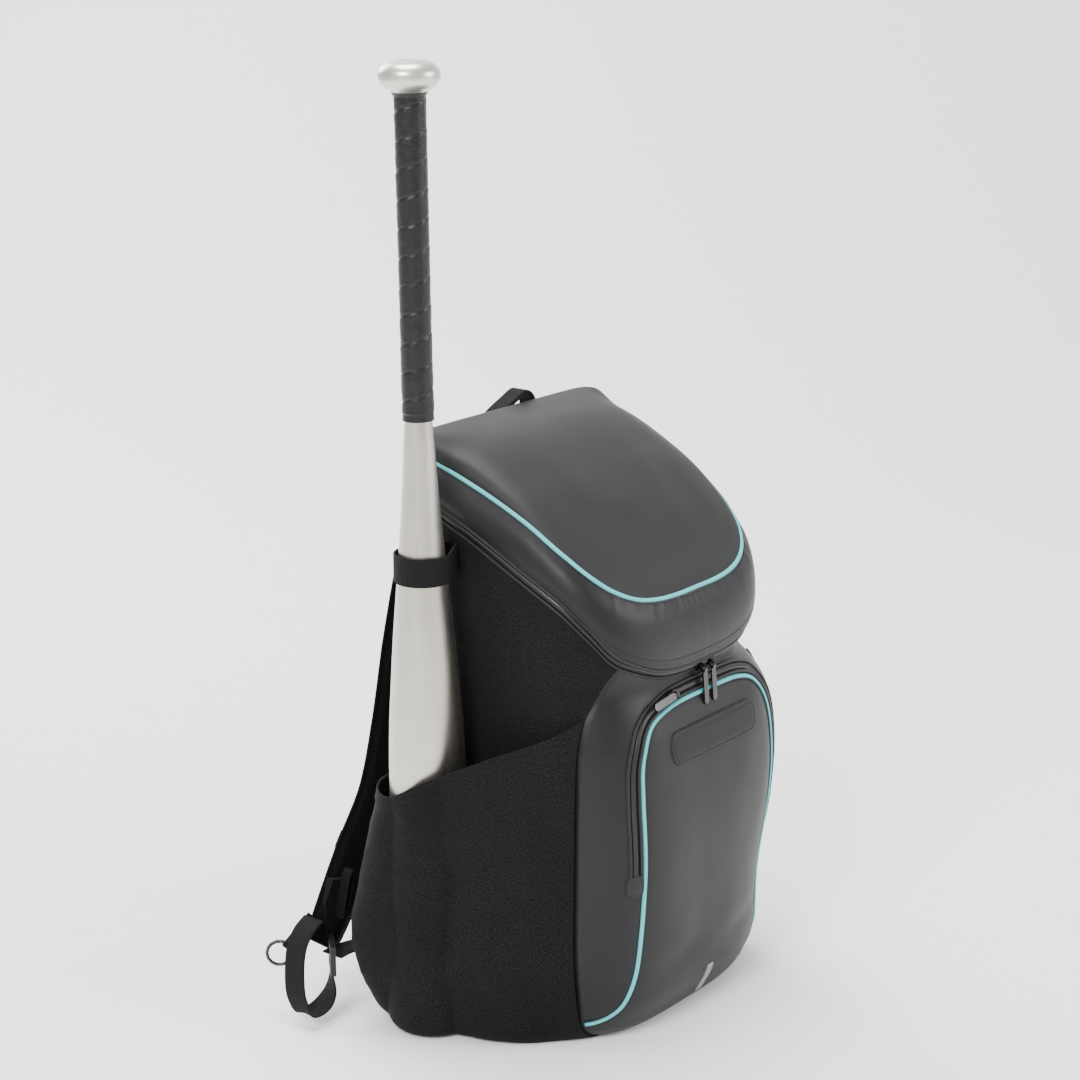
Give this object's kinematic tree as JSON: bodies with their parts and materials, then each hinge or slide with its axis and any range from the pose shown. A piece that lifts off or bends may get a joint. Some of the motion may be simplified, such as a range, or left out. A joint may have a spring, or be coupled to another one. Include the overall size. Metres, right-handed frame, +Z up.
{
  "type": "baseball bat backpack with bat",
  "caption": "Upright sports backpack with a slanted zipped lid, a piped front pocket, open side pockets, padded straps and a metal bat held in a side pocket.",
  "frame": {"origin": "on the floor under the middle of the pack's base", "axes": "+Z up, the front pocket faces -Y, the wearer's back faces +Y, and the bat stands at -X"},
  "size_m": [0.5178, 0.3186, 0.849],
  "materials": {
    "woven_body": "matte speckled weave",
    "woven_pad": "matte woven cloth over foam",
    "coated_panels": "matte coated synthetic leather",
    "piping": "satin coated cord",
    "zip_tape": "matte zip tape",
    "plate_rubber": "matte moulded rubber",
    "reflective": "grey reflective tape",
    "webbing": "matte ribbed webbing",
    "hardware": "polished dark nickel",
    "buckle_plastic": "matte moulded plastic",
    "bat_alloy": "satin brushed",
    "bat_cap": "matte",
    "bat_grip": "smooth spiral wrap"
  },
  "bodies": {
    "root": {"main_body": "woven_body", "front_gusset": "coated_panels", "front_panel": "coated_panels", "front_piping": "piping", "front_zip": "zip_tape", "name_plate": "plate_rubber", "reflective_tab": "reflective", "hood_gusset": "coated_panels", "hood_panel": "coated_panels", "hood_piping": "piping", "hood_zip": "zip_tape", "hood_hinge": "coated_panels", "back_panel": "woven_pad", "side_pocket_left": "woven_body", "side_pocket_right": "woven_body", "bat_tube": "bat_alloy", "bat_end_cap": "bat_cap", "bat_grip": "bat_grip", "bat_knob": "bat_alloy", "bat_strap": "webbing", "accessory_ring": "hardware", "ring_tab": "webbing", "top_handle": "webbing", "hood_slider_left": "hardware", "hood_pull_left": "hardware", "hood_slider_right": "hardware", "hood_pull_right": "hardware", "front_slider": "hardware", "front_pull": "hardware", "shoulder_strap_left": "woven_pad", "shoulder_strap_right": "woven_pad", "strap_buckle_left": "buckle_plastic", "strap_buckle_right": "buckle_plastic", "foot_webbing_left": "webbing", "foot_webbing_right": "webbing", "webbing_tail_left": "webbing", "webbing_tail_right": "webbing", "chest_slider_left": "buckle_plastic", "chest_slider_right": "buckle_plastic", "strap_patch_left": "webbing", "strap_patch_right": "webbing", "webbing_loop_left": "webbing", "webbing_loop_right": "webbing"}
  },
  "joints": []
}
